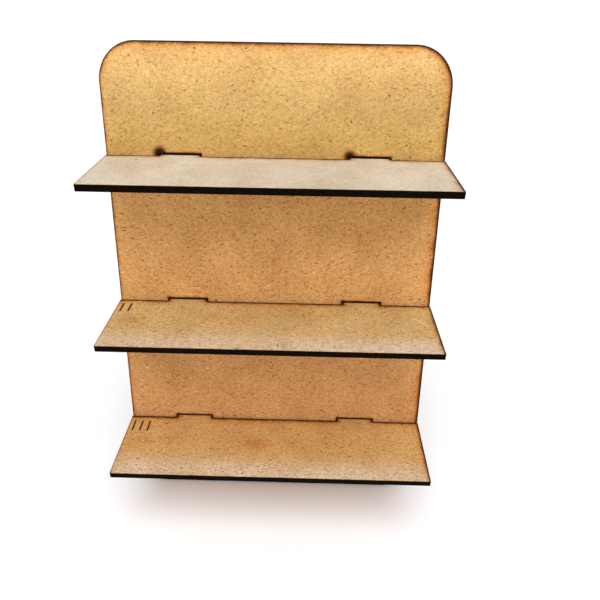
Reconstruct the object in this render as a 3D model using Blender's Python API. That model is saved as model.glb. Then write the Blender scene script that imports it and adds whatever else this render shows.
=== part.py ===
"""Three-tier paint rack: a leaning fibreboard panel, three level shelves and two rear legs.

Every piece is a flat plate cut from one 3 mm sheet. Two tabs on each shelf go through slots
in the back board and are notched across the two upright legs behind it. The rack stands on
the back board's lower edge and on the feet of the legs.

World axes: X to the right, Y from front to back, Z up. The origin is on the table, at the
middle of the space that the rack takes up.
"""

from math import cos, pi, radians, sin, tan

import bpy

# Driving dimensions, in metres.
SHEET = 0.003
LEAN = radians(13.0)
BOARD_WIDTH = 0.150
BOARD_HEIGHT = 0.220
BOARD_CORNER_RADIUS = 0.0165
SHELF_DEPTH = 0.0373
BOTTOM_SHELF_HEIGHT = 0.0412
MIDDLE_SHELF_HEIGHT = 0.1062
TOP_SHELF_HEIGHT = 0.1740
TAB_WIDTH = 0.0185
TAB_CENTRE = 0.042
LEG_HEIGHT = 0.184
LEG_CORNER_RADIUS = 0.005
MARK_LENGTH = 0.0068
MARK_WIDTH = 0.0006
MARK_DEPTH = 0.0003
MARK_SPACING = 0.0038
MARK_INSET = 0.0028
MARK_FROM_REAR = 0.0034

# Room left between neighbouring plates, and around a tab in its slot.
GAP = 0.0003
SLOT_CLEARANCE = 0.0004

# How far a cutter stands out of the plate it cuts.
CUT_EXTRA = 0.002
ARC_STEPS = 14

# What follows from them. LIFT is how far the lean raises the board's front lower edge.
LIFT = SHEET * sin(LEAN)
FRONT_Y = BOTTOM_SHELF_HEIGHT * sin(LEAN) - SHEET * tan(LEAN) - GAP / cos(LEAN) - SHELF_DEPTH
BACK_Y = BOARD_HEIGHT * sin(LEAN) + SHEET * cos(LEAN)
ORIGIN_Y = (FRONT_Y + BACK_Y) / 2

SHELVES = (
    ("shelf_bottom", BOTTOM_SHELF_HEIGHT, 3),
    ("shelf_middle", MIDDLE_SHELF_HEIGHT, 2),
    ("shelf_top", TOP_SHELF_HEIGHT, 0),
)


def clear_scene():
    """Remove every object, so that the rack is built in an empty scene."""
    for obj in list(bpy.data.objects):
        bpy.data.objects.remove(obj, do_unlink=True)


def make_material(name, colour, roughness):
    """A plain Principled material in the colour of raw or scorched fibreboard."""
    material = bpy.data.materials.new(name)
    material.use_nodes = True
    shader = material.node_tree.nodes["Principled BSDF"]
    shader.inputs["Base Color"].default_value = (*colour, 1.0)
    shader.inputs["Roughness"].default_value = roughness
    shader.inputs["Metallic"].default_value = 0.0
    material.diffuse_color = (*colour, 1.0)
    return material


def arc(centre, radius, start, end):
    """Points of an arc from one angle to another, counter-clockwise for a rising angle."""
    angles = (start + (end - start) * i / ARC_STEPS for i in range(ARC_STEPS + 1))
    return [(centre[0] + radius * cos(a), centre[1] + radius * sin(a)) for a in angles]


def plate(name, outline, to_world, material):
    """A sheet-thick plate: the closed outline at depth 0 and at depth SHEET, joined all round.

    The outline runs counter-clockwise as seen from the face at depth 0, and to_world turns an
    outline point and a depth into a place in the world.
    """
    count = len(outline)
    near = [to_world(a, b, 0.0) for a, b in outline]
    far = [to_world(a, b, SHEET) for a, b in outline]
    faces = [list(range(count)), list(range(2 * count - 1, count - 1, -1))]
    for i in range(count):
        j = (i + 1) % count
        faces.append([j, i, count + i, count + j])
    mesh = bpy.data.meshes.new(name)
    mesh.from_pydata(near + far, [], faces)
    mesh.materials.append(material)
    obj = bpy.data.objects.new(name, mesh)
    bpy.context.collection.objects.link(obj)
    return obj


def box_cutter(name, boxes):
    """One hidden cutter made of separate upright boxes, each given by its lowest and highest corner."""
    vertices = []
    faces = []
    for low, high in boxes:
        base = len(vertices)
        vertices += [
            (x, y, z)
            for z in (low[2], high[2])
            for x, y in ((low[0], low[1]), (high[0], low[1]), (high[0], high[1]), (low[0], high[1]))
        ]
        quads = ((3, 2, 1, 0), (4, 5, 6, 7), (0, 1, 5, 4), (1, 2, 6, 5), (2, 3, 7, 6), (3, 0, 4, 7))
        faces += [[base + k for k in quad] for quad in quads]
    mesh = bpy.data.meshes.new(name)
    mesh.from_pydata(vertices, [], faces)
    cutter = bpy.data.objects.new(name, mesh)
    bpy.context.collection.objects.link(cutter)
    cutter.hide_render = True
    cutter.display_type = "WIRE"
    return cutter


def cut(obj, cutter):
    """Take the cutter's boxes out of the plate."""
    modifier = obj.modifiers.new(cutter.name, "BOOLEAN")
    modifier.operation = "DIFFERENCE"
    modifier.solver = "EXACT"
    modifier.object = cutter


def shelf_top_z(height):
    """Level of a shelf's upper face that meets the board's front at this height along the board."""
    return height * cos(LEAN) + LIFT


def front_face_y(z):
    """Place of the board's front face at a level, before the origin is moved to the middle."""
    return (z - LIFT) * tan(LEAN)


def back_face_y(z):
    """Place of the board's back face at a level, before the origin is moved to the middle."""
    return SHEET * cos(LEAN) + z * tan(LEAN)


def notch_root_y(z):
    """Where tab and leg meet inside their joint: half way from the board to the leg's back edge."""
    return (back_face_y(z) + BACK_Y) / 2


def board_outline():
    """Upright rectangle with four round corners, seen from the front."""
    half = BOARD_WIDTH / 2
    radius = BOARD_CORNER_RADIUS
    left, right = radius - half, half - radius
    low, high = radius, BOARD_HEIGHT - radius
    return (
        arc((left, low), radius, pi, 1.5 * pi)
        + arc((right, low), radius, 1.5 * pi, 2 * pi)
        + arc((right, high), radius, 0.0, 0.5 * pi)
        + arc((left, high), radius, 0.5 * pi, pi)
    )


def make_back_board(material):
    """The leaning panel with its six slots, one for each shelf tab."""
    board = plate("back_board", board_outline(), lambda a, b, depth: (a, depth, b), material)
    half = TAB_WIDTH / 2 + SLOT_CLEARANCE
    boxes = []
    for _name, height, _marks in SHELVES:
        low = height - SHEET / cos(LEAN) - SLOT_CLEARANCE
        high = height + SHEET * tan(LEAN) + SLOT_CLEARANCE
        for centre in (-TAB_CENTRE, TAB_CENTRE):
            boxes.append(
                ((centre - half, -CUT_EXTRA, low), (centre + half, SHEET + CUT_EXTRA, high))
            )
    cutter = box_cutter("cutter_board_slots", boxes)
    cut(board, cutter)
    for obj in (board, cutter):
        obj.location = (0.0, -ORIGIN_Y, LIFT)
        obj.rotation_euler = (-LEAN, 0.0, 0.0)
    return board


def shelf_outline(rear_y, front_y, tab_end_y, root_y):
    """A shelf seen from above: a rectangle with two forked tabs at its rear."""
    half = BOARD_WIDTH / 2
    fork = SHEET / 2 + GAP
    root = root_y - GAP / 2
    points = [(-half, front_y), (half, front_y), (half, rear_y)]
    for centre in (TAB_CENTRE, -TAB_CENTRE):
        right, left = centre + TAB_WIDTH / 2, centre - TAB_WIDTH / 2
        points += [(right, rear_y), (right, tab_end_y), (centre + fork, tab_end_y)]
        points += [(centre + fork, root), (centre - fork, root)]
        points += [(centre - fork, tab_end_y), (left, tab_end_y), (left, rear_y)]
    points.append((-half, rear_y))
    return points


def make_shelf(name, height, marks, material):
    """One level shelf. Its rear edge stops at the board and its tabs run on to the legs' back edge."""
    top = shelf_top_z(height)
    rear_y = front_face_y(top - SHEET) - GAP / cos(LEAN)
    outline = shelf_outline(rear_y, rear_y - SHELF_DEPTH, BACK_Y, notch_root_y(top - SHEET / 2))
    shelf = plate(name, outline, lambda a, b, depth: (a, b - ORIGIN_Y, top - depth), material)
    if marks:
        cut(shelf, make_mark_cutter(name, marks, rear_y - ORIGIN_Y, top))
    return shelf


def make_mark_cutter(name, marks, rear_y, top):
    """The engraved strokes that number a shelf, side by side near its rear left corner."""
    far = rear_y - MARK_FROM_REAR
    boxes = []
    for i in range(marks):
        middle = -BOARD_WIDTH / 2 + MARK_INSET + i * MARK_SPACING
        low = (middle - MARK_WIDTH / 2, far - MARK_LENGTH, top - MARK_DEPTH)
        high = (middle + MARK_WIDTH / 2, far, top + CUT_EXTRA)
        boxes.append((low, high))
    return box_cutter("cutter_marks_" + name, boxes)


def leg_outline():
    """A leg seen from the left side: upright back edge, sloping front edge with three notches."""
    clear = GAP / cos(LEAN)
    front_low = back_face_y(0.0) + clear
    front_high = back_face_y(LEG_HEIGHT) + clear
    centre = (BACK_Y - LEG_CORNER_RADIUS, LEG_HEIGHT - LEG_CORNER_RADIUS)
    points = [(front_low, 0.0), (BACK_Y, 0.0)]
    points += arc(centre, LEG_CORNER_RADIUS, 0.0, 0.5 * pi)
    points.append((front_high, LEG_HEIGHT))
    for _name, height, _marks in reversed(SHELVES):
        top = shelf_top_z(height)
        root = notch_root_y(top - SHEET / 2) + GAP / 2
        upper, lower = top + GAP, top - SHEET - GAP
        points += [(back_face_y(upper) + clear, upper), (root, upper)]
        points += [(root, lower), (back_face_y(lower) + clear, lower)]
    return points


def make_leg(name, centre, material):
    """One upright leg behind the board, notched from the front over the three tabs of its side."""
    far = centre + SHEET / 2
    return plate(name, leg_outline(), lambda a, b, depth: (far - depth, a - ORIGIN_Y, b), material)


def main():
    clear_scene()
    make_back_board(make_material("board_fibreboard", (0.58, 0.33, 0.13), 0.72))
    for name, height, marks in SHELVES:
        tone = (0.60, 0.42, 0.24) if name == "shelf_top" else (0.55, 0.33, 0.16)
        make_shelf(name, height, marks, make_material(name + "_fibreboard", tone, 0.70))
    make_leg("rear_leg_left", -TAB_CENTRE, make_material("leg_left_fibreboard", (0.50, 0.30, 0.14), 0.72))
    make_leg("rear_leg_right", TAB_CENTRE, make_material("leg_right_fibreboard", (0.50, 0.30, 0.14), 0.72))


main()
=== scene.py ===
# %% [markdown]
# # A three-tier paint rack cut from fibreboard
#
# The rack is six flat plates of 3 mm fibreboard, cut by laser and pushed together: a back board
# that leans, three level shelves, and two legs behind. The CAD model fixes every size and place.
# This notebook gives each plate its finished surface: a cut edge burnt black, a fine rounded
# arris, a brown scorch that fades into the raw board, and the fibres and specks of the board.

from math import cos, pi, radians, sin, tan

import bpy
import numpy as np
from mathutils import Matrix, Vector
from mathutils.geometry import delaunay_2d_cdt


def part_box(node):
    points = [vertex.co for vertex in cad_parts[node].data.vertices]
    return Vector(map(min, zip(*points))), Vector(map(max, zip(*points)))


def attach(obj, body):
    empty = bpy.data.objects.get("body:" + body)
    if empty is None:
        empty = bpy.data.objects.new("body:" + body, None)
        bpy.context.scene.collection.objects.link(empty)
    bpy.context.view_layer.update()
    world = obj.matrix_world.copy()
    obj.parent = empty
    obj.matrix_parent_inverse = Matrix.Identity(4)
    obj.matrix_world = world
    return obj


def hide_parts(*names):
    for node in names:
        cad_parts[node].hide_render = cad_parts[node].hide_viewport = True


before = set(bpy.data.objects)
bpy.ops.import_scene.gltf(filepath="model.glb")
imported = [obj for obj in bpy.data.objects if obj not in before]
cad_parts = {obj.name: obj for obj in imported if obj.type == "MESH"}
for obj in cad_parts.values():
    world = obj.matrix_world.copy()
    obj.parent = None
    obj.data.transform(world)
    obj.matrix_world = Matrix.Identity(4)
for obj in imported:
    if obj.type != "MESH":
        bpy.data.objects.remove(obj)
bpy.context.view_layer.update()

# %% [markdown]
# ## Read the sizes off the frame
#
# The plates are worked out in millimetres in their own flat drawing, as the laser cut them, and
# only then stood up in the rack. The lean, the corner radii, the gaps, the tabs and the shelf depth
# can't be read off a box, so they are named here. The rest follows from the boxes of the CAD plates.
# The slots are drawn a little tighter than the CAD's, so that no light shows past the tabs.

# %% Sizes in millimetres
MM = 0.001
LEAN = radians(13.0)


def box_mm(node):
    """Lowest and highest corner of a CAD plate, in millimetres."""
    low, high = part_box(node)
    return np.array(low) / MM, np.array(high) / MM


board_low, board_high = box_mm("back_board")
leg_low, leg_high = box_mm("rear_leg_left")
SHEET = leg_high[0] - leg_low[0]
BOARD_WIDTH = board_high[0] - board_low[0]
BOARD_HEIGHT = (board_high[2] - board_low[2] - SHEET * sin(LEAN)) / cos(LEAN)
BOARD_CORNER = 16.5
LIFT = SHEET * sin(LEAN)
FOOT_Y = board_high[1] - SHEET * cos(LEAN) - BOARD_HEIGHT * sin(LEAN)
BACK_Y = leg_high[1]
GAP = 0.3
SLOT_CLEARANCE = 0.4
SLOT_SIDE_CLEARANCE = 0.02
SLOT_TOP_CLEARANCE = 0.1
SHELF_DEPTH = 37.3
TAB_CENTRE = 42.0
TAB_WIDTH = 18.5
LEG_CORNER = 5.0
print(f"sheet {SHEET:.2f}, board {BOARD_WIDTH:.1f} by {BOARD_HEIGHT:.1f}, back plane {BACK_Y:.2f}")


def front_face_y(z):
    """Where the board's front face is at a level."""
    return FOOT_Y + (z - LIFT) * tan(LEAN)


def back_face_y(z):
    """Where the board's back face is at a level."""
    return FOOT_Y + SHEET * cos(LEAN) + z * tan(LEAN)


def height_along_board(z):
    """How far up the board a level is, measured along the board's front face."""
    return (z - LIFT) / cos(LEAN)


def notch_root_y(z):
    """Where tab and leg meet inside their joint: half way from the board to the back plane."""
    return (back_face_y(z) + BACK_Y) / 2


# %% [markdown]
# ## Draw a cut line
#
# A cut line is a closed loop of points. Corners are rounded by an arc, a very small one where the
# drawing has a sharp corner, since a laser beam has a width. The long stretches are then divided
# evenly. Two short functions do both for any plate, so each plate needs only its corner points.

# %% Loops with rounded corners
def rounded(corners, radii, arc_points=6):
    """Replace each corner by an arc that touches both of its sides.

    With unit vectors u and v from the corner to its neighbours and the angle f between them, the
    arc starts radius / tan(f / 2) along u, and its centre is radius / sin(f / 2) along u + v.
    Points on the arc are the two end directions blended evenly by angle.
    """
    corners = np.asarray(corners, float)
    radii = np.broadcast_to(radii, len(corners))
    to_last = np.roll(corners, 1, axis=0) - corners
    to_next = np.roll(corners, -1, axis=0) - corners
    u = to_last / np.linalg.norm(to_last, axis=1, keepdims=True)
    v = to_next / np.linalg.norm(to_next, axis=1, keepdims=True)
    angle = np.arccos(np.clip((u * v).sum(axis=1), -1, 1))
    reach = (radii / np.tan(angle / 2))[:, None]
    middle = (u + v) / np.linalg.norm(u + v, axis=1, keepdims=True)
    centre = corners + middle * (radii / np.sin(angle / 2))[:, None]
    start = corners + u * reach - centre
    end = corners + v * reach - centre
    turn = (pi - angle)[:, None, None]
    share = np.linspace(0, 1, arc_points)[None, :, None]
    blend = np.sin((1 - share) * turn) * start[:, None] + np.sin(share * turn) * end[:, None]
    return (centre[:, None] + blend / np.sin(turn)).reshape(-1, 2)


def divided(loop, step):
    """Divide each side of a loop into equal parts no longer than step."""
    ahead = np.roll(loop, -1, axis=0) - loop
    count = np.maximum(1, np.ceil(np.linalg.norm(ahead, axis=1) / step)).astype(int)
    side = np.repeat(np.arange(len(loop)), count)
    first = np.repeat(np.cumsum(count) - count, count)
    share = (np.arange(count.sum()) - first) / count[side]
    return loop[side] + ahead[side] * share[:, None]


def outward(loop):
    """Normals on the right of the direction of travel, lengthened at a corner as in a mitre."""
    ahead = np.roll(loop, -1, axis=0) - loop
    along = ahead / np.linalg.norm(ahead, axis=1, keepdims=True)
    right = np.stack([along[:, 1], -along[:, 0]], axis=1)
    before = np.roll(right, 1, axis=0)
    return (right + before) / (1 + (right * before).sum(axis=1, keepdims=True))


def rectangle(left, low, right, high):
    """Four corners, counter-clockwise."""
    return [(left, low), (right, low), (right, high), (left, high)]


test_loop = divided(rounded(rectangle(0, 0, 10, 4), 1.0), 0.5)
test_middle = np.array([[5.0, 2.0]])
print("a 10 by 4 loop with round corners has", len(test_loop), "points")

# %% [markdown]
# ## Measure how far a point is from a cut
#
# Scorch depends above all on how near the laser passed. So every point of a plate's face carries
# its distance to the nearest cut line, as a vertex attribute that the material reads. The other
# way would be a distance formula in shader nodes, which is exact but has to be built anew for each
# outline, while this works for any loop.

# %% Distances and inside tests
CHUNK = 1500


def distance_to(points, loops, reach=None):
    """Shortest distance from each point to any side of any loop.

    The point is projected on the side, the foot is kept between the side's ends, and the least
    distance over all sides is taken. With a reach for each side, the distance is first divided
    by it. Points are handled in chunks to keep the arrays small.
    """
    start = np.concatenate(loops)
    ahead = np.concatenate([np.roll(loop, -1, axis=0) - loop for loop in loops])
    reach = np.ones(len(start)) if reach is None else reach
    square = (ahead ** 2).sum(axis=1)
    best = np.empty(len(points))
    for first in range(0, len(points), CHUNK):
        here = points[first:first + CHUNK, None] - start[None]
        share = np.clip((here * ahead).sum(axis=2) / square, 0, 1)
        away = np.linalg.norm(here - share[..., None] * ahead, axis=2)
        best[first:first + CHUNK] = (away / reach).min(axis=1)
    return best


def inside(points, loops):
    """True where a line to the right of the point crosses the loops an odd number of times."""
    start = np.concatenate(loops)
    end = np.concatenate([np.roll(loop, -1, axis=0) for loop in loops])
    odd = np.empty(len(points), bool)
    for first in range(0, len(points), CHUNK):
        x, y = points[first:first + CHUNK, :1], points[first:first + CHUNK, 1:]
        spans = (start[:, 1] > y) != (end[:, 1] > y)
        rise = np.where(end[:, 1] == start[:, 1], 1.0, end[:, 1] - start[:, 1])
        crossing = start[:, 0] + (y - start[:, 1]) / rise * (end[:, 0] - start[:, 0])
        odd[first:first + CHUNK] = (spans & (x < crossing)).sum(axis=1) % 2 == 1
    return odd


print("its middle is", distance_to(test_middle, [test_loop])[0].round(3), "from its edge")
print("its middle is inside it:", inside(test_middle, [test_loop])[0])

# %% [markdown]
# ## Build a plate
#
# A plate could be an extruded outline with a bevel, but then its cut edge would be one flat strip
# and its face one big polygon that can carry no scorch. Here the cut edge is a profile carried
# along each cut line: a small round arris, a wall that leans a little because the beam widens, and
# a second arris. The faces between the loops are triangulated with points that crowd towards the
# cuts. Engraved strokes are shallow channels, made by carrying a second profile round their loops.

# %% Profiles, in millimetres
ARRIS = 0.16
ARRIS_POINTS = 4
KERF_TAPER = 0.05
WALL_POINTS = 5
turn = np.linspace(0, pi / 2, ARRIS_POINTS)
rising = ARRIS * (1 - np.sin(turn))
falling = ARRIS * (1 - np.cos(turn))
wall_depth = np.linspace(ARRIS, SHEET - ARRIS, WALL_POINTS + 2)[1:-1]
front_arris = np.stack([KERF_TAPER + rising, falling], axis=1)
wall = np.stack([KERF_TAPER * (1 - wall_depth / SHEET), wall_depth], axis=1)
back_arris = np.stack([falling, SHEET - rising], axis=1)
CUT_PROFILE = np.concatenate([front_arris, wall, back_arris])
STROKE_PROFILE = np.array([(0.0, 0.0), (0.03, 0.06), (0.09, 0.20), (0.17, 0.27), (0.24, 0.29)])
print("the cut profile has", len(CUT_PROFILE), "points, the stroke profile", len(STROKE_PROFILE))

# %% [markdown]
# The profile's first column is how far the surface stands in from the cut line and its second is
# the depth below the face. Carrying it along a loop gives a grid: one row for each profile point.
# The faces are filled with a plain grid of points and with rings that hug the cuts, where the
# colour changes fastest.

# %% Carry a profile along a loop
CUT_STEP = 0.8
FACE_STEP = 2.2
NEAR_CUT_STEPS = (0.35, 0.8, 1.5)
NEAR_STROKE_STEPS = (0.25, 0.6)
CLEAR_OF_RINGS = 0.6
CLEAR_OF_CUT = 0.5
CLEAR_OF_STROKE = 0.2
RING_TOLERANCE = 0.98
LEAST_SPACING = 0.05
SAME_POINT = 1e-7


def band(loop, profile, first_index):
    """Grid of points, its quads and its index: each row is the loop moved along its normals.

    A point is loop - normal * inset, at the profile's depth, so each profile row is one ring.
    """
    normal = outward(loop)
    flat = loop[None] - normal[None] * profile[:, 0, None, None]
    depth = np.broadcast_to(profile[:, 1, None, None], (len(profile), len(loop), 1))
    points = np.concatenate([flat, depth], axis=2).reshape(-1, 3)
    rows, count = len(profile), len(loop)
    index = first_index + np.arange(rows * count).reshape(rows, count)
    ahead = np.roll(index, -1, axis=1)
    quads = np.stack([ahead[:-1], index[:-1], index[1:], ahead[1:]], axis=2).reshape(-1, 4)
    return points, quads, index


def face_points(loops, strokes, extra):
    """Points inside a face: rings beside the cuts and strokes, a plain grid, and any extra ones."""
    low = loops[0].min(axis=0)
    high = loops[0].max(axis=0)
    across = [np.arange(a + FACE_STEP, b - FACE_STEP / 2, FACE_STEP) for a, b in zip(low, high)]
    found = [np.stack(np.meshgrid(*across), axis=2).reshape(-1, 2)]
    keep = [np.full(len(found[0]), max(NEAR_CUT_STEPS) + CLEAR_OF_RINGS)]
    for loop in loops:
        coarse = loop[::2]
        for step in NEAR_CUT_STEPS:
            found.append(coarse - outward(coarse) * step)
            keep.append(np.full(len(coarse), RING_TOLERANCE * step))
    found.append(extra)
    keep.append(np.full(len(extra), CLEAR_OF_CUT))
    points = np.concatenate(found)
    clear = distance_to(points, loops) >= np.concatenate(keep)
    points = points[clear & inside(points, loops)]
    if strokes:
        rings = np.concatenate([s - outward(s) * d for s in strokes for d in NEAR_STROKE_STEPS])
        points = points[distance_to(points, strokes) > max(NEAR_STROKE_STEPS) + CLEAR_OF_STROKE]
        points = np.concatenate([points, rings])
        points = points[inside(points, loops + strokes)]
    order = np.lexsort((points[:, 1], points[:, 0]))
    points = points[order]
    gap = np.linalg.norm(np.diff(points, axis=0), axis=1)
    return points[np.concatenate([[True], gap > LEAST_SPACING])]


def triangles(loops, points):
    """Triangles that fill the region between the loops and pass through the given points.

    Constrained Delaunay triangulation keeps every loop side as an edge. Triangles whose middle
    lies outside the region are dropped, and the rest are turned counter-clockwise.
    """
    fixed = np.concatenate(loops)
    everything = np.concatenate([fixed, points])
    edges = []
    first = 0
    for loop in loops:
        index = first + np.arange(len(loop))
        edges += np.stack([index, np.roll(index, -1)], axis=1).tolist()
        first += len(loop)
    found = delaunay_2d_cdt([Vector(p) for p in everything], edges, [], 0, SAME_POINT, True)
    source = np.array([ids[0] for ids in found[3]])
    corner = source[np.array(found[2])]
    corner = corner[inside(everything[corner].mean(axis=1), loops)]
    a, b, c = (everything[corner[:, k]] for k in range(3))
    turn = (b[:, 0] - a[:, 0]) * (c[:, 1] - a[:, 1]) - (b[:, 1] - a[:, 1]) * (c[:, 0] - a[:, 0])
    corner[turn < 0] = corner[turn < 0][:, ::-1]
    return corner


test_band = band(test_loop, CUT_PROFILE, 0)
print("a band along the test loop has", len(test_band[0]), "points and", len(test_band[1]), "quads")

# %% [markdown]
# What the laser did to the face becomes numbers on the vertices. `from_cut` and `from_stroke` are
# distances in millimetres. `from_smoke` is the same distance divided by how far the smoke reached
# on that side, because the air jet blows it one way. `pierce` and `stain` go from 0 to 1. `place` is
# the point's own place in the flat drawing, which the fibres follow when the plate leans.

# %% Attributes
BOARD_JET = (0.22, 0.10)
SHELF_JET = (0.32, 0.55)
MEAN_REACH = 0.62
LEAST_REACH = 0.12
SLOT_SHARE = 0.6
PIERCE_SPREAD = 1.9
PIERCE_RINGS = (0.6, 1.2, 2.0, 3.0, 4.2)
RING_POINTS = 14
STAIN_STRETCH = (1.0, 0.6)
CHANNEL_DEPTHS = (0.01, 0.5)
CHANNELS_FROM_CUT = 2.0
FAR = 99.0


def smoke_reach(loop, jet):
    """Reach of the smoke beside each side of a cut: a mean, and more where the jet blows to."""
    return np.maximum(LEAST_REACH, MEAN_REACH + outward(loop) @ np.array(jet))


def attribute(mesh, name, values):
    """A number, or a vector, on each vertex."""
    kind, field = ("FLOAT", "value") if values.ndim == 1 else ("FLOAT_VECTOR", "vector")
    layer = mesh.attributes.new(name, kind, "POINT")
    layer.data.foreach_set(field, values.astype(np.float32).ravel())


def burn_at(flat, pierced):
    """Burn round each pierced point: its strength times exp(-(distance / spread) squared)."""
    burn = np.zeros(len(flat))
    for x, y, strength in pierced:
        away = np.linalg.norm(flat - (x, y), axis=1)
        burn = np.maximum(burn, strength * np.exp(-(away / (PIERCE_SPREAD * (0.5 + strength))) ** 2))
    return burn


def stain_at(flat, stains):
    """Soft oval stains, wider than deep: strength times exp(-(distance / radius) squared)."""
    stain = np.zeros(len(flat))
    for x, y, radius, strength in stains:
        away = np.linalg.norm((flat - (x, y)) / STAIN_STRETCH, axis=1)
        stain = np.maximum(stain, strength * np.exp(-(away / radius) ** 2))
    return stain


def stroke_distance(flat, depth, from_cut, marks):
    """Distance from the strokes: 0 on a channel's own surface and far away on the other face."""
    away = distance_to(flat, marks) if marks else np.full(len(flat), FAR)
    below_face = (depth > CHANNEL_DEPTHS[0]) & (depth < CHANNEL_DEPTHS[1])
    away = np.where(below_face & (from_cut > CHANNELS_FROM_CUT), 0.0, away)
    return np.where(depth > CHANNEL_DEPTHS[1], FAR, away)


def add_attributes(mesh, built, cuts, marks, pierced, stains, jet):
    """Everything that the finish reads. Burns and stains are on the front face only."""
    flat, depth = built[:, :2], built[:, 2]
    on_face = (depth < ARRIS) | (depth > SHEET - ARRIS)
    in_front = depth < SHEET / 2
    share = [1.0] + [SLOT_SHARE] * (len(cuts) - 1)
    reach = np.concatenate([smoke_reach(loop, jet) * part for loop, part in zip(cuts, share)])
    from_cut = np.where(on_face, distance_to(flat, cuts), 0.0)
    attribute(mesh, "place", built)
    attribute(mesh, "from_cut", from_cut)
    attribute(mesh, "from_smoke", np.where(on_face, distance_to(flat, cuts, reach), 0.0))
    attribute(mesh, "from_stroke", stroke_distance(flat, depth, from_cut, marks))
    attribute(mesh, "pierce", burn_at(flat, pierced) * in_front)
    attribute(mesh, "stain", stain_at(flat, stains) * in_front)


def rings_round(centres):
    """Points on rings round each centre, so that a small burn has vertices to live on."""
    angle = np.linspace(0, 2 * pi, RING_POINTS, endpoint=False)
    circle = np.stack([np.cos(angle), np.sin(angle)], axis=1)
    rings = np.concatenate([circle * r for r in PIERCE_RINGS])
    return (np.asarray(centres, float)[:, None] + rings[None]).reshape(-1, 2)


test_reach = smoke_reach(test_loop, BOARD_JET)
print("smoke reaches", test_reach.min().round(2), "to", test_reach.max().round(2), "round the test loop")

# %% [markdown]
# A plate is put together from its bands and its two faces. All of it is one closed surface: every
# band's first ring belongs to the front face and its last ring to the back face, and an engraved
# channel ends in a floor of its own.

# %% Put a plate into a mesh
SHARP_ANGLE = radians(40)


def carry_bands(cuts, marks):
    """Bands along every cut and channel: points, quads, edge rings of both faces, channel floors."""
    points, quads, front, back, floors = [], [], [], [], []
    total = 0
    for number, loop in enumerate(cuts + marks):
        is_cut = number < len(cuts)
        profile = CUT_PROFILE if is_cut else STROKE_PROFILE * (-1, 1)
        grid, faces, index = band(loop, profile, total)
        points.append(grid)
        quads += faces.tolist()
        front.append(index[0])
        if is_cut:
            back.append(index[-1])
        else:
            floors.append(index[-1][::-1].tolist())
        total += len(grid)
    return np.concatenate(points), quads, front, back, floors


def plate(name, to_world, outline, slots=(), strokes=(), pierced=(), stains=(), jet=BOARD_JET):
    """A finished plate: a band along every cut, two faces, and engraved channels in the front one."""
    cuts = [divided(outline, CUT_STEP)] + [divided(s, CUT_STEP)[::-1] for s in slots]
    marks = [divided(s, CUT_STEP / 2)[::-1] for s in strokes]
    built, faces, front, back, floors = carry_bands(cuts, marks)
    extra = rings_round([(x, y) for x, y, _ in pierced]) if len(pierced) else np.empty((0, 2))
    for rings, depth, turned in ((front, 0.0, False), (back, SHEET, True)):
        loops = [built[index, :2] for index in rings]
        fill = face_points(loops[:len(cuts)], loops[len(cuts):], extra)
        corner = triangles(loops, fill)
        ids = np.concatenate(rings + [len(built) + np.arange(len(fill))])
        faces += (ids[corner][:, ::-1] if turned else ids[corner]).tolist()
        built = np.concatenate([built, np.column_stack([fill, np.full(len(fill), depth)])])
    mesh = bpy.data.meshes.new(name)
    mesh.from_pydata(to_world(*built.T) * MM, [], faces + floors)
    mesh.shade_smooth()
    mesh.set_sharp_from_angle(angle=SHARP_ANGLE)
    add_attributes(mesh, built, cuts, marks, pierced, stains, jet)
    piece = bpy.data.objects.new(name, mesh)
    bpy.context.scene.collection.objects.link(piece)
    print(name, len(mesh.vertices), "vertices,", len(mesh.polygons), "faces")
    return piece


print("faces turn sharp above", round(SHARP_ANGLE * 180 / pi), "degrees")

# %% [markdown]
# ## The back board
#
# An upright rectangle with four round corners and six slots. Each slot is a little taller than the
# sheet, because a level tab goes through a leaning board on a slant. The beam starts each slot at
# its upper left corner, and there the board is burnt darkest.

# %% Cut the back board
SHELVES = ("shelf_bottom", "shelf_middle", "shelf_top")
PIERCE_STRENGTHS = ((0.25, 0.3), (0.3, 0.35), (1.0, 0.9))
SLOT_CORNER = 0.25
SLOT_ARC_POINTS = 4
BOARD_ARC_POINTS = 28
PIERCE_INSET = 0.2
slot_outlines = []
pierced = []
for node, strengths in zip(SHELVES, PIERCE_STRENGTHS):
    height = height_along_board(box_mm(node)[1][2])
    slot_low = height - SHEET / cos(LEAN) - SLOT_CLEARANCE
    slot_high = height + SHEET * tan(LEAN) + SLOT_TOP_CLEARANCE
    half = TAB_WIDTH / 2 + SLOT_SIDE_CLEARANCE
    for centre, strength in zip((-TAB_CENTRE, TAB_CENTRE), strengths):
        corners = rectangle(centre - half, slot_low, centre + half, slot_high)
        slot_outlines.append(rounded(corners, SLOT_CORNER, SLOT_ARC_POINTS))
        pierced.append((centre - half + PIERCE_INSET, slot_high, strength))


def on_board(a, b, depth):
    """Lean the drawing: along the board is (sin, cos) of the lean, and into it is (cos, -sin)."""
    y = FOOT_Y + b * sin(LEAN) + depth * cos(LEAN)
    z = LIFT + b * cos(LEAN) - depth * sin(LEAN)
    return np.stack([a, y, z], axis=1)


half_width = BOARD_WIDTH / 2
board_corners = rectangle(-half_width, 0, half_width, BOARD_HEIGHT)
board_outline = rounded(board_corners, BOARD_CORNER, BOARD_ARC_POINTS)
board = plate("cut_back_board", on_board, board_outline, slot_outlines, pierced=pierced)

# %% [markdown]
# ## The shelves
#
# Each shelf is a rectangle with two tabs. The tabs pass through the board and end in forks that
# straddle the legs. All tabs end in one plane, so the lower a shelf sits on the leaning board, the
# longer its tabs are. The strokes near the rear left corner tell the shelves apart: none on the
# top one, two on the middle one and three on the bottom one. Handling has left faint stains.

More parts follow.
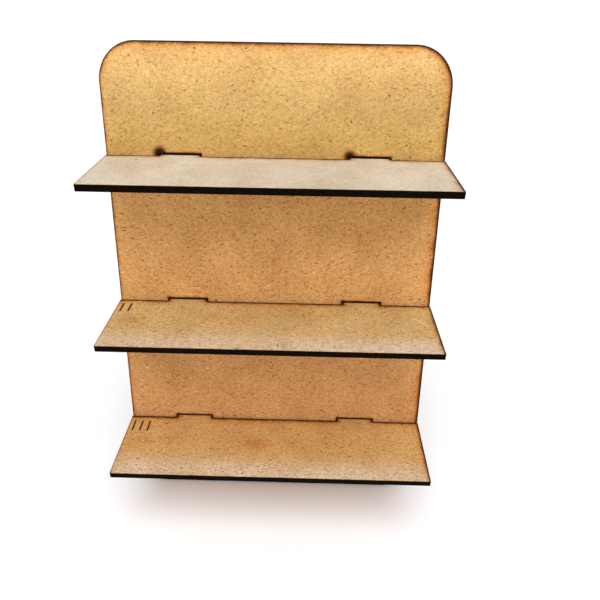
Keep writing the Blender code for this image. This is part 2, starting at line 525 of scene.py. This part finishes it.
# %% Cut the shelves
STROKE_LENGTH = 6.8
STROKE_WIDTH = 0.6
STROKE_SPACING = 3.8
STROKE_INSET = 2.8
STROKE_FROM_REAR = 3.4
STROKE_ROUNDING = 0.45
EDGE_ROUND = 0.35
SHELF_ARC_POINTS = 5
LEG_ARC_POINTS = 9


def shelf_corners(rear, front, root):
    """Corners of a shelf seen from above, counter-clockwise, with a forked tab on each side."""
    fork = SHEET / 2 + GAP
    corners = [(-half_width, front), (half_width, front), (half_width, rear)]
    for centre in (TAB_CENTRE, -TAB_CENTRE):
        right, left = centre + TAB_WIDTH / 2, centre - TAB_WIDTH / 2
        corners += [(right, rear), (right, BACK_Y), (centre + fork, BACK_Y), (centre + fork, root)]
        corners += [(centre - fork, root), (centre - fork, BACK_Y), (left, BACK_Y), (left, rear)]
    return corners + [(-half_width, rear)]


def rear_of(node):
    """Rear edge of a shelf in its drawing: a gap in front of the board, at the shelf's underside."""
    return front_face_y(box_mm(node)[1][2] - SHEET) - GAP / cos(LEAN)


def stroke_outline(number, rear):
    """One engraved stroke, counted from the left."""
    left = STROKE_INSET - half_width + number * STROKE_SPACING - STROKE_WIDTH / 2
    far = rear - STROKE_FROM_REAR
    corners = rectangle(left, far - STROKE_LENGTH, left + STROKE_WIDTH, far)
    return rounded(corners, STROKE_WIDTH * STROKE_ROUNDING, SHELF_ARC_POINTS)


def shelf(name, node, strokes, stains):
    """One level shelf, drawn from above. Stains are given as (x, distance in front of the rear edge)."""
    top = box_mm(node)[1][2]
    rear = rear_of(node)
    root = notch_root_y(top - SHEET / 2) - GAP / 2
    outline = rounded(shelf_corners(rear, rear - SHELF_DEPTH, root), EDGE_ROUND, SHELF_ARC_POINTS)
    return plate(name, lambda a, b, depth: np.stack([a, b, top - depth], axis=1), outline,
                 strokes=[stroke_outline(i, rear) for i in range(strokes)],
                 stains=[(x, rear - back, radius, strength) for x, back, radius, strength in stains],
                 jet=SHELF_JET)


TOP_STAINS = ((52, 13, 5, 0.16), (63, 14, 4, 0.14), (-60, 16, 7, 0.10))
MIDDLE_STAINS = ((-66, 17, 4.0, 0.62), (-27, 14, 6, 0.5), (-14, 15, 8, 0.25), (10, 5, 9, 0.42))
BOTTOM_STAINS = ((-64, 16.5, 4, 0.5), (-52, 16, 4.5, 0.6), (-8, 17, 6, 0.65), (7, 15.5, 5, 0.6))
top_shelf = shelf("cut_top_shelf", "shelf_top", 0, TOP_STAINS)
middle_shelf = shelf("cut_middle_shelf", "shelf_middle", 2, MIDDLE_STAINS)
bottom_shelf = shelf("cut_bottom_shelf", "shelf_bottom", 3, BOTTOM_STAINS)

# %% [markdown]
# ## The legs
#
# A leg stands square to the board, astride the tabs of one side. Its back edge is upright and its
# front edge follows the board. Three notches take the tabs, half way through each joint.

# %% Cut the legs
def leg_corners():
    """Corners of a leg seen from the right, counter-clockwise, and the radius of each."""
    clear = GAP / cos(LEAN)
    top = leg_high[2]
    corners = [(back_face_y(0) + clear, 0), (BACK_Y, 0)]
    corners += [(BACK_Y, top), (back_face_y(top) + clear, top)]
    radii = [EDGE_ROUND, EDGE_ROUND, LEG_CORNER, EDGE_ROUND]
    for node in reversed(SHELVES):
        upper = box_mm(node)[1][2] + GAP
        lower = upper - SHEET - 2 * GAP
        root = notch_root_y(upper - GAP - SHEET / 2) + GAP / 2
        corners += [(back_face_y(upper) + clear, upper), (root, upper)]
        corners += [(root, lower), (back_face_y(lower) + clear, lower)]
        radii += [EDGE_ROUND] * 4
    return corners, radii


def leg(name, centre):
    """One leg, its face towards +X at half a sheet from its middle."""
    corners, radii = leg_corners()
    right = centre + SHEET / 2
    return plate(name, lambda a, b, depth: np.stack([right - depth, a, b], axis=1),
                 rounded(corners, radii, LEG_ARC_POINTS))


left_leg = leg("cut_left_leg", -TAB_CENTRE)
right_leg = leg("cut_right_leg", TAB_CENTRE)

# %% [markdown]
# ## The finish of raw fibreboard
#
# Medium-density fibreboard is pressed wood fibre. Close up it is a felt of short pale and dark
# fibres with a few dark specks of bark, on a ground that is mottled over centimetres. Each of
# these is its own noise, because one noise at one scale looks like sand or like cloud. Where the
# laser passed, the colour goes from black through umber and rust to the raw board.

# %% Small helpers for shader nodes
class Shader:
    """A material's node tree with short calls for the nodes used below."""

    def __init__(self, name):
        self.material = bpy.data.materials.new(name)
        self.material.use_nodes = True
        self.tree = self.material.node_tree
        self.surface = self.tree.nodes["Principled BSDF"]

    def put(self, socket, value):
        """Link a node's output to a socket, or set the socket's own value."""
        if isinstance(value, bpy.types.NodeSocket):
            self.tree.links.new(value, socket)
        else:
            socket.default_value = value

    def read(self, name, output="Fac"):
        """A vertex attribute."""
        node = self.tree.nodes.new("ShaderNodeAttribute")
        node.attribute_name = name
        return node.outputs[output]

    def math(self, operation, a, b=0.0, clamp=False):
        """One sum, product or the like of two numbers or sockets."""
        node = self.tree.nodes.new("ShaderNodeMath")
        node.operation = operation
        node.use_clamp = clamp
        self.put(node.inputs[0], a)
        self.put(node.inputs[1], b)
        return node.outputs[0]

    def move(self, vector, shift=(0, 0, 0), turn=0.0, scale=(1, 1, 1)):
        """Scale, turn in the plane of the sheet, and shift a vector."""
        node = self.tree.nodes.new("ShaderNodeMapping")
        self.put(node.inputs["Vector"], vector)
        node.inputs["Location"].default_value = shift
        node.inputs["Rotation"].default_value = (0, 0, turn)
        node.inputs["Scale"].default_value = scale
        return node.outputs[0]

    def noise(self, vector, scale, detail=2.0, rough=0.5):
        """A noise of about `scale` lumps for each millimetre."""
        node = self.tree.nodes.new("ShaderNodeTexNoise")
        self.put(node.inputs["Vector"], vector)
        node.inputs["Scale"].default_value = scale
        node.inputs["Detail"].default_value = detail
        node.inputs["Roughness"].default_value = rough
        return node.outputs["Fac"]

    def warp(self, vector, scale, amount):
        """Push a vector about by a coarse colour noise, so that straight fibres curl."""
        noise = self.tree.nodes.new("ShaderNodeTexNoise")
        self.put(noise.inputs["Vector"], vector)
        noise.inputs["Scale"].default_value = scale
        push = self.tree.nodes.new("ShaderNodeVectorMath")
        push.operation = "MULTIPLY_ADD"
        self.put(push.inputs[0], noise.outputs["Color"])
        push.inputs[1].default_value = (amount, amount, 0.0)
        self.put(push.inputs[2], vector)
        return push.outputs[0]

    def streak(self, vector, centre, size, turn):
        """1 on a thin ellipse on the front face, measured in half sizes from its centre."""
        node = self.tree.nodes.new("ShaderNodeMapping")
        node.vector_type = "TEXTURE"
        self.put(node.inputs["Vector"], vector)
        node.inputs["Location"].default_value = (*centre, 0.0)
        node.inputs["Rotation"].default_value = (0, 0, turn)
        node.inputs["Scale"].default_value = (size[0] / 2, size[1] / 2, 1.0)
        away = self.tree.nodes.new("ShaderNodeVectorMath")
        away.operation = "LENGTH"
        self.put(away.inputs[0], node.outputs[0])
        return self.band(away.outputs["Value"], 1.1, 0.6)

    def part(self, vector, index):
        """One part of a vector."""
        node = self.tree.nodes.new("ShaderNodeSeparateXYZ")
        self.put(node.inputs[0], vector)
        return node.outputs[index]

    def band(self, value, low, high, out_low=0.0, out_high=1.0):
        """A smooth step between two values."""
        node = self.tree.nodes.new("ShaderNodeMapRange")
        node.interpolation_type = "SMOOTHSTEP"
        self.put(node.inputs["Value"], value)
        node.inputs["From Min"].default_value = low
        node.inputs["From Max"].default_value = high
        node.inputs["To Min"].default_value = out_low
        node.inputs["To Max"].default_value = out_high
        return node.outputs["Result"]

    def mix(self, share, a, b, blend="MIX"):
        """Blend two colours."""
        node = self.tree.nodes.new("ShaderNodeMix")
        node.data_type = "RGBA"
        node.blend_type = blend
        for name, value in (("Factor", share), ("A", a), ("B", b)):
            socket = next(s for s in node.inputs if s.name == name and s.enabled)
            self.put(socket, value)
        return next(s for s in node.outputs if s.enabled)

    def ramp(self, value, stops):
        """A colour ramp from (position, colour) pairs."""
        node = self.tree.nodes.new("ShaderNodeValToRGB")
        self.put(node.inputs["Fac"], value)
        elements = node.color_ramp.elements
        for _ in stops[2:]:
            elements.new(0.5)
        for element, (position, colour) in zip(elements, stops):
            element.position = position
            element.color = (*colour, 1.0)
        return node.outputs["Color"]


def shade(colour, factor):
    """A colour made lighter or darker."""
    return tuple(min(1.0, c * factor) for c in colour)


print("shader helpers:", [name for name in vars(Shader) if not name.startswith("_")])

# %% [markdown]
# Every layer of the finish reads the same few things: the place in the drawing, and noises of four
# sizes. `cloud` is the slow drift of a sheet's colour over centimetres, `blotch` is its mottle,
# `clump` and `felt` are the pressed fibre itself, down to half a millimetre. Each plate shifts them
# by its own seed, since no two plates come from the same spot of the sheet.

# %% What the layers share
SEED_SHIFT = (31.0, 17.0, 5.0)


def sheet_layers(shader, seed):
    """The place in the drawing, moved by the seed, and the shared noises."""
    drawn = shader.read("place", "Vector")
    place = shader.move(drawn, shift=tuple(seed * step for step in SEED_SHIFT))
    return {
        "drawn": drawn,
        "along": shader.part(drawn, 1),
        "depth": shader.part(drawn, 2),
        "place": place,
        "cloud": shader.noise(place, 0.055, detail=3.5, rough=0.6),
        "blotch": shader.noise(place, 0.22, detail=3.0, rough=0.55),
        "clump": shader.noise(place, 0.75, detail=2.0, rough=0.55),
        "felt": shader.noise(place, 2.2, detail=2.0, rough=0.6),
        "curled": shader.warp(place, 0.42, 2.2),
    }


print("seeds move the noises by", SEED_SHIFT, "mm each")

# %% [markdown]
# The ground colour comes first. A plate can be toned along its length: along the board and the lower
# shelves the tones are painted light and shade, and a shelf's paler strip near its front edge is a
# painted sheen. The noises multiply the tone, so that one set of noises serves every tone.

# %% Ground colour
WARM = (0.97, 0.84, 0.70)
DRIFT = ((0.32, (0.90, 0.865, 0.82)), (0.52, (1.0, 1.0, 1.0)), (0.70, (1.08, 1.09, 1.11)))
FELT_DEPTH = 0.26
CLUMP_DEPTH = 0.15


def toned(shader, sheet, tones):
    """One tone, or several along the drawing. The rear face has a single tone from among them."""
    if len(tones) == 1:
        return (*tones[0][1], 1.0)
    low, high = tones[0][0], tones[-1][0]
    share = shader.math("DIVIDE", shader.math("SUBTRACT", sheet["along"], low), high - low, clamp=True)
    colour = shader.ramp(share, [((at - low) / (high - low), tone) for at, tone in tones])
    rear_face = shader.band(sheet["depth"], 1.0, 2.0)
    return shader.mix(rear_face, colour, (*tones[len(tones) // 3][1], 1.0))


def ground_colour(shader, sheet, tones, contrast, pale):
    """Tone, drift, warm mottle, pale strip and felt. The pale strip is painted sheen, and pale is
    (from, to, colour) along the drawing.
    """
    colour = toned(shader, sheet, tones)
    colour = shader.mix(1.0, colour, shader.ramp(sheet["cloud"], DRIFT), "MULTIPLY")
    mottle = shader.band(sheet["blotch"], 0.42, 0.74, 0.0, 0.6 * contrast)
    colour = shader.mix(mottle, colour, (*WARM, 1.0), "MULTIPLY")
    # The pale strip is painted sheen along a shelf's front.
    if pale is not None:
        patchy = shader.band(sheet["cloud"], 0.38, 0.62, 0.62, 1.0)
        share = shader.math("MULTIPLY", shader.band(sheet["along"], pale[0], pale[1]), patchy)
        colour = shader.mix(share, colour, (*pale[2], 1.0))
    for noise, depth in ((sheet["felt"], FELT_DEPTH * contrast), (sheet["clump"], CLUMP_DEPTH * contrast)):
        dark, light = 1.0 - depth, 1.0 + 0.8 * depth
        stops = ((0.32, (dark, dark * 0.95, dark * 0.88)), (0.50, (1.0, 1.0, 1.0)),
                 (0.68, (light, light, light * 1.03)))
        colour = shader.mix(1.0, colour, shader.ramp(noise, stops), "MULTIPLY")
    return colour


print("the felt darkens the tone by up to", FELT_DEPTH, "and the clumps by up to", CLUMP_DEPTH)

# %% [markdown]
# Single fibres show as short curled strands, some dark and some pale, that lie in all directions.
# A noise stretched along one direction and cut off near its peaks gives such strands. Three
# directions of each kind are laid over each other, and a coarse warp curls them. Flecks of bark
# are the peaks of a rounder noise.

# %% Fibres and flecks
FIBRE_STRETCH = (0.36, 1.65, 1.0)
FIBRE_TURNS = ((0.2, 3.0), (1.25, 11.0), (2.3, 23.0))
DARK_FROM = 0.665
PALE_FROM = 0.67
PALE_TURN = 0.5
PALE_SHIFT = 40.0
FIBRE_EDGE = 0.04
DARK_FIBRE = (0.40, 0.235, 0.14)
PALE_FIBRE = (1.32, 1.34, 1.5)
BARK = (0.12, 0.05, 0.016)


def fibre_layer(shader, place, turn, seed, threshold):
    """Short fibres in one direction: a noise stretched along the fibre, cut off near its peaks."""
    lines = shader.move(place, shift=(seed, seed * 0.7, 0), turn=turn, scale=FIBRE_STRETCH)
    value = shader.noise(lines, 1.0, detail=1.5, rough=0.5)
    return shader.band(value, threshold, threshold + FIBRE_EDGE)


def fibres(shader, sheet, colour, seed, contrast, busy_below):
    """Dark and pale strands, thicker on the ground where the blotches are and below a given height."""
    busy = shader.band(sheet["blotch"], 0.30, 0.62, 0.45 * contrast, 1.05 * contrast)
    if busy_below is not None:
        lower = shader.band(sheet["along"], busy_below, busy_below - 10.0, 0.75, 1.1)
        busy = shader.math("MULTIPLY", busy, lower)
    for turn, shift in FIBRE_TURNS:
        dark = fibre_layer(shader, sheet["curled"], turn, seed + shift, DARK_FROM)
        share = shader.math("MULTIPLY", dark, busy, clamp=True)
        colour = shader.mix(share, colour, (*DARK_FIBRE, 1.0), "MULTIPLY")
        pale = fibre_layer(shader, sheet["curled"], turn + PALE_TURN, seed + shift + PALE_SHIFT, PALE_FROM)
        share = shader.math("MULTIPLY", pale, busy, clamp=True)
        colour = shader.mix(share, colour, (*PALE_FIBRE, 1.0), "MULTIPLY")
    return colour


def bark_flecks(shader, sheet, seed):
    """1 on the few flecks of bark."""
    place = shader.move(sheet["curled"], shift=(seed * 3.0, 40.0, 0.0), scale=(0.75, 1.15, 1.0))
    return shader.band(shader.noise(place, 0.9, detail=2.0), 0.69, 0.71)


print(2 * len(FIBRE_TURNS), "layers of fibres")

# %% [markdown]
# Handling leaves two things: scratches that lift pale fibre or hold dirt, and faint brown stains.
# A scratch is a thin ellipse at a given place. The stains are on the vertices already.

# %% Scratches and stains
STAIN = (0.76, 0.44, 0.22)
SCRATCH_SHARE = 0.75


def handling(shader, sheet, colour, scratches):
    """Scratches, each given as (centre, (length, width), turn, colour), and stains."""
    for centre, size, turn, ink in scratches:
        on_scratch = shader.streak(sheet["drawn"], centre, size, turn)
        colour = shader.mix(shader.math("MULTIPLY", on_scratch, SCRATCH_SHARE), colour, (*ink, 1.0))
    patchy = shader.band(sheet["blotch"], 0.3, 0.7, 0.6, 1.2)
    stain = shader.math("MULTIPLY", shader.read("stain"), patchy)
    return shader.mix(stain, colour, (*STAIN, 1.0), "MULTIPLY")


print("a scratch hides", SCRATCH_SHARE, "of the ground")

# %% [markdown]
# Scorch runs from black through umber and orange to the raw board within a few millimetres, more on
# the side that the jet blows to. The tints multiply the ground, so that fibres still show through
# them. The distance is first bent by two noises, since real smoke leaves an uneven edge. At a
# pierced point the beam stood still, and the burn is a small dark spot with a rusty rim. The
# strokes are the same burn in small.

# %% Scorch, burns and strokes
UMBER = (0.045, 0.016, 0.005)
RUST = (0.34, 0.135, 0.035)
STROKE_RIM = (0.62, 0.36, 0.16)
STROKE_INK = (0.085, 0.034, 0.012)
SMOKE_WIDTH = 6.0
SMOKE_TINTS = ((0.0, (0.04, 0.018, 0.009)), (0.12, (0.09, 0.044, 0.025)), (0.18, (0.26, 0.15, 0.10)),
               (0.26, (0.54, 0.37, 0.28)), (0.34, (0.78, 0.59, 0.46)), (0.46, (0.93, 0.77, 0.63)),
               (0.70, (0.99, 0.92, 0.83)), (1.0, (1.0, 1.0, 1.0)))


def scorch(shader, sheet, colour, halo):
    """Brown halo beside every cut, and an umber line right at it."""
    uneven = shader.noise(sheet["place"], 0.13, detail=4.0, rough=0.62)
    width = shader.band(uneven, 0.25, 0.75, 0.70 * halo, 1.35 * halo)
    grain = shader.math("MULTIPLY", shader.math("SUBTRACT", sheet["felt"], 0.5), 0.9)
    smoke = shader.math("ADD", shader.read("from_smoke"), grain)
    reach = shader.math("DIVIDE", smoke, shader.math("MULTIPLY", width, SMOKE_WIDTH), clamp=True)
    colour = shader.mix(1.0, colour, shader.ramp(reach, SMOKE_TINTS), "MULTIPLY")
    at_cut = shader.band(shader.read("from_smoke"), 0.95, 0.40, 0.0, 0.93)
    return shader.mix(at_cut, colour, (*UMBER, 1.0))


def burns_and_strokes(shader, sheet, colour):
    """Pierce burns, and the engraved strokes with their brown rim."""
    burn = shader.math("MULTIPLY", shader.read("pierce"), shader.band(sheet["felt"], 0.2, 0.7, 0.75, 1.35))
    colour = shader.mix(shader.band(burn, 0.08, 0.55, 0.0, 0.75), colour, (*RUST, 1.0), "MULTIPLY")
    colour = shader.mix(shader.band(burn, 0.35, 0.9), colour, (*shade(UMBER, 0.5), 1.0))
    stroke = shader.read("from_stroke")
    colour = shader.mix(shader.band(stroke, 0.9, 0.2, 0.0, 0.4), colour, (*STROKE_RIM, 1.0), "MULTIPLY")
    return shader.mix(shader.band(stroke, 0.16, 0.02, 0.0, 0.9), colour, (*STROKE_INK, 1.0))


def tab_soot_and_painted_shade(shader, sheet, colour, soot_and_shade_from):
    """Soot and painted shade on a tab where it comes through its slot, gone 9 mm further back.
    The tab's top there is darkened nearly black: part soot, part painted shade for the dark gap above it.
    """
    starts = shader.band(sheet["along"], soot_and_shade_from, soot_and_shade_from + 0.5)
    ends = shader.band(sheet["along"], soot_and_shade_from + 9.0, soot_and_shade_from + 4.0)
    soot_and_shade = shader.math("MULTIPLY", shader.math("MULTIPLY", starts, ends), 0.95)
    return shader.mix(soot_and_shade, colour, (*shade(UMBER, 0.4), 1.0))


print("the smoke tints have", len(SMOKE_TINTS), "stops over", SMOKE_WIDTH, "mm")

# %% [markdown]
# The cut edge is charcoal: nearly black, with fine drag lines square to the faces where the beam
# went down. Raw fibreboard has almost no gloss, so its reflection is low all over. The relief is
# shallow: felt on the faces, drag lines on the edges, and pits where flecks of bark fell out.

# %% Cut edges and the whole finish
CHAR = (0.0042, 0.0026, 0.0016)
CHAR_ASH = (0.020, 0.012, 0.007)
LOW_GLOSS = 0.08
LOW_IOR = 1.3
RELIEF_MM = 0.06
RELIEF_STRENGTH = 0.35


def charred(shader, sheet):
    """How much of a point is cut edge, its drag-line noise, and its colour."""
    dragged = shader.move(sheet["place"], scale=(1.0, 1.0, 0.12))
    lines = shader.noise(dragged, 2.6, detail=3.0, rough=0.6)
    char = shader.ramp(lines, ((0.3, shade(CHAR, 0.5)), (0.62, CHAR), (0.85, CHAR_ASH)))
    return shader.band(shader.read("from_cut"), 0.13, 0.02), lines, char


def matt_surface(shader, sheet, on_edge, lines, flecks):
    """Roughness, low reflection and shallow relief."""
    rough = shader.band(sheet["felt"], 0.25, 0.75, 0.56, 0.70)
    rough = shader.math("MAXIMUM", rough, shader.math("MULTIPLY", on_edge, 0.9))
    shader.put(shader.surface.inputs["Roughness"], rough)
    shader.surface.inputs["Specular IOR Level"].default_value = LOW_GLOSS
    shader.surface.inputs["IOR"].default_value = LOW_IOR
    edge_relief = shader.math("MULTIPLY", lines, shader.math("MULTIPLY", on_edge, 2.5))
    relief = shader.math("ADD", sheet["felt"], edge_relief)
    relief = shader.math("SUBTRACT", relief, shader.math("MULTIPLY", flecks, 0.35))
    bump = shader.tree.nodes.new("ShaderNodeBump")
    bump.inputs["Strength"].default_value = RELIEF_STRENGTH
    bump.inputs["Distance"].default_value = RELIEF_MM * MM
    shader.put(bump.inputs["Height"], relief)
    shader.put(shader.surface.inputs["Normal"], bump.outputs["Normal"])


def fibreboard(name, tones, seed, halo=1.0, contrast=1.0, soot_and_shade_from=None, pale=None,
               scratches=(), busy_below=None):
    """The whole finish, laid on in the order in which it came about.

    The tones are (place along the drawing, colour) pairs. Along the board and the shelves they are
    painted light and shade.
    """
    shader = Shader(name)
    sheet = sheet_layers(shader, seed)
    colour = ground_colour(shader, sheet, tones, contrast, pale)
    colour = fibres(shader, sheet, colour, seed, contrast, busy_below)
    flecks = bark_flecks(shader, sheet, seed)
    colour = shader.mix(shader.math("MULTIPLY", flecks, 0.85), colour, (*BARK, 1.0))
    colour = handling(shader, sheet, colour, scratches)
    colour = scorch(shader, sheet, colour, halo)
    colour = burns_and_strokes(shader, sheet, colour)
    if soot_and_shade_from is not None:
        colour = tab_soot_and_painted_shade(shader, sheet, colour, soot_and_shade_from)
    on_edge, lines, char = charred(shader, sheet)
    colour = shader.mix(on_edge, colour, char)
    shader.put(shader.surface.inputs["Base Color"], colour)
    matt_surface(shader, sheet, on_edge, lines, flecks)
    return shader.material


print("relief is", RELIEF_MM, "mm deep")

# %% [markdown]
# ## Fit each plate into the rack
#
# Every plate stands for its CAD node, which it hides, and rides on the rack's one body. The board is
# the most golden, and lighter towards its top. The shelf tops are duller, the top one most of all, and
# the lower two have a pale strip along the front.

# %% Tones and scratches
# Painted light and shade: the board is toned lighter towards its top, where the light falls strongest, and
# darker just above the top shelf and low down.
BOARD_TONES_WITH_PAINTED_LIGHT = ((60, (0.565, 0.292, 0.112)), (125, (0.61, 0.334, 0.121)), (168, (0.61, 0.335, 0.120)),
               (178, (0.515, 0.325, 0.102)), (197, (0.570, 0.373, 0.138)), (216, (0.69, 0.435, 0.168)))
BUSY_BELOW = 168.0
middle_rear = rear_of("shelf_middle")
bottom_rear = rear_of("shelf_bottom")
# Painted sheen: the top shelf's pale, greyish tone stands in for the reflection of the bright room that
# its face shows at a grazing view.
TOP_TONES_WITH_PAINTED_SHEEN = ((0, (0.54, 0.47, 0.365)),)
# Painted light: the middle and bottom shelves are toned lighter near their rear edge, to lift the shade
# that the shelf above casts there.
MIDDLE_TONES_WITH_PAINTED_LIGHT = ((middle_rear - 24, (0.48, 0.318, 0.140)), (middle_rear - 3, (0.555, 0.365, 0.150)))
BOTTOM_TONES_WITH_PAINTED_LIGHT = ((bottom_rear - 24, (0.485, 0.285, 0.106)), (bottom_rear - 3, (0.560, 0.325, 0.118)))
LEG_TONES = ((0, (0.55, 0.32, 0.115)),)
# Painted sheen: a paler, greyer tone along the front of the lower two shelves, where their faces catch the
# overhead light.
PAINTED_SHEEN_TONE = (0.545, 0.42, 0.295)
PAINTED_SHEEN_FROM_REAR = (22.0, 36.0)
# Part soot, part painted shade: how far behind a shelf's rear edge the dark band on its tabs begins.
SOOT_AND_SHADE_FROM_REAR = 1.0
LIFTED_FIBRE = (0.80, 0.62, 0.40)
DIRT = (0.10, 0.04, 0.015)
board_scratches = (
    ((-3.3, 114.1), (5.0, 0.45), 0.45, LIFTED_FIBRE),
    ((69.1, 195.4), (3.2, 0.40), -0.42, DIRT),
    ((-51.0, 209.0), (6.5, 0.40), -1.15, LIFTED_FIBRE),
    ((-54.0, 207.5), (5.0, 0.35), -1.25, LIFTED_FIBRE),
)
middle_scratches = (
    ((68.8, middle_rear - 14.2), (9.5, 0.45), -0.96, LIFTED_FIBRE),
    ((66.5, middle_rear - 12.5), (4.5, 0.40), -0.70, LIFTED_FIBRE),
)
print(len(BOARD_TONES_WITH_PAINTED_LIGHT), "tones along the board,", len(board_scratches), "scratches on it")

# %% [markdown]
# One loop finishes all six plates, since they differ only by a few values. The halo is widest on the
# board and narrowest on the shelves, and the top shelf has the least contrast.

# %% Finish and ride
def shelf_extras(node):
    """Soot and painted shade on the tabs of a shelf, and the pale strip of painted sheen that the lower
    two have.
    """
    rear = rear_of(node)
    extras = {"soot_and_shade_from": rear + SOOT_AND_SHADE_FROM_REAR}
    if node != "shelf_top":
        extras["pale"] = (rear - PAINTED_SHEEN_FROM_REAR[0], rear - PAINTED_SHEEN_FROM_REAR[1], PAINTED_SHEEN_TONE)
    return extras


board_extras = {"scratches": board_scratches, "busy_below": BUSY_BELOW}
top_extras = shelf_extras("shelf_top")
middle_extras = shelf_extras("shelf_middle") | {"scratches": middle_scratches}
bottom_extras = shelf_extras("shelf_bottom")
# Each row: plate, CAD node, record slot, tones, seed, width of the halo, contrast, and extras.
plates = (
    (board, "back_board", "board_fibreboard", BOARD_TONES_WITH_PAINTED_LIGHT, 1, 1.0, 1.0, board_extras),
    (top_shelf, "shelf_top", "shelf_top_fibreboard", TOP_TONES_WITH_PAINTED_SHEEN, 2, 0.7, 0.42, top_extras),
    (middle_shelf, "shelf_middle", "shelf_middle_fibreboard", MIDDLE_TONES_WITH_PAINTED_LIGHT, 3, 0.7, 1.05, middle_extras),
    (bottom_shelf, "shelf_bottom", "shelf_bottom_fibreboard", BOTTOM_TONES_WITH_PAINTED_LIGHT, 4, 0.7, 1.15, bottom_extras),
    (left_leg, "rear_leg_left", "leg_left_fibreboard", LEG_TONES, 5, 0.9, 1.0, {}),
    (right_leg, "rear_leg_right", "leg_right_fibreboard", LEG_TONES, 6, 0.9, 1.0, {}),
)
for piece, node, slot, tones, seed, halo, contrast, extras in plates:
    piece.data.materials.append(fibreboard("finish_" + node, tones, seed, halo, contrast, **extras))
    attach(piece, "root")
    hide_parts(node)
    print(piece.name, "stands for", node)

# %% [markdown]
# ## Floor, light and camera
#
# The rack stands on a wide white floor, which fills the camera's view. It is a stage piece and no
# part of the rack.

# %% Floor
FLOOR_REACH = 12.0
FLOOR_POINTS = 9
FLOOR_WHITE = (0.83, 0.83, 0.845)


def floor_surface():
    """A flat square grid on the table plane, reaching as far in metres each way."""
    line = np.linspace(-FLOOR_REACH, FLOOR_REACH, FLOOR_POINTS)
    x, y = np.meshgrid(line, line)
    points = np.stack([x.ravel(), y.ravel(), np.zeros(x.size)], axis=1)
    index = np.arange(x.size).reshape(x.shape)
    quads = np.stack([index[:-1, :-1], index[:-1, 1:], index[1:, 1:], index[1:, :-1]], axis=2)
    mesh = bpy.data.meshes.new("floor")
    mesh.from_pydata(points, [], quads.reshape(-1, 4).tolist())
    return mesh


floor = bpy.data.objects.new("floor", floor_surface())
bpy.context.scene.collection.objects.link(floor)
floor_paint = Shader("floor_paint")
floor_paint.surface.inputs["Base Color"].default_value = (*FLOOR_WHITE, 1.0)
floor_paint.surface.inputs["Roughness"].default_value = 0.9
floor.data.materials.append(floor_paint.material)
print("floor of", len(floor.data.polygons), "squares")

# %% [markdown]
# A bright even sky and two soft suns give the flat light of a light tent. The stronger sun is nearly
# overhead and draws soft shadows under the shelves. The weaker one comes from low in front and
# keeps them open.

# %% Light
SKY_STRENGTH = 0.60
world = bpy.data.worlds.new("tent")
world.use_nodes = True
sky = world.node_tree.nodes["Background"]
sky.inputs["Color"].default_value = (1.0, 1.0, 1.0, 1.0)
sky.inputs["Strength"].default_value = SKY_STRENGTH
bpy.context.scene.world = world


def sun(name, strength, spread, tilt, heading):
    """A wide sun. Spread, tilt from straight down and heading round the rack are in degrees."""
    lamp = bpy.data.lights.new(name, "SUN")
    lamp.energy = strength
    lamp.angle = radians(spread)
    holder = bpy.data.objects.new(name, lamp)
    holder.rotation_euler = (radians(tilt), 0.0, radians(heading))
    bpy.context.scene.collection.objects.link(holder)


sun("overhead_light", 2.2, 50, 22, 8)
sun("front_light", 0.7, 60, 62, -6)
print("sky at", SKY_STRENGTH, "and", len(bpy.data.lights), "suns")

# %% [markdown]
# The camera looks down at the rack from a little above its top, near enough for the shelves' depth
# to show. The standard view transform keeps the white floor white.

# %% Camera
CAMERA_LENS = 31.31
CAMERA_PLACE = (0.01537, -0.20080, 0.24102)
CAMERA_TURN = (57.514, -0.697, 1.305)
camera_data = bpy.data.cameras.new("camera")
camera_data.lens = CAMERA_LENS
camera_data.clip_start = 0.01
camera = bpy.data.objects.new("camera", camera_data)
camera.location = CAMERA_PLACE
camera.rotation_euler = tuple(radians(angle) for angle in CAMERA_TURN)
bpy.context.scene.collection.objects.link(camera)
bpy.context.scene.camera = camera
bpy.context.scene.view_settings.view_transform = "Standard"
print("camera at", tuple(camera.location))

# %% [markdown]
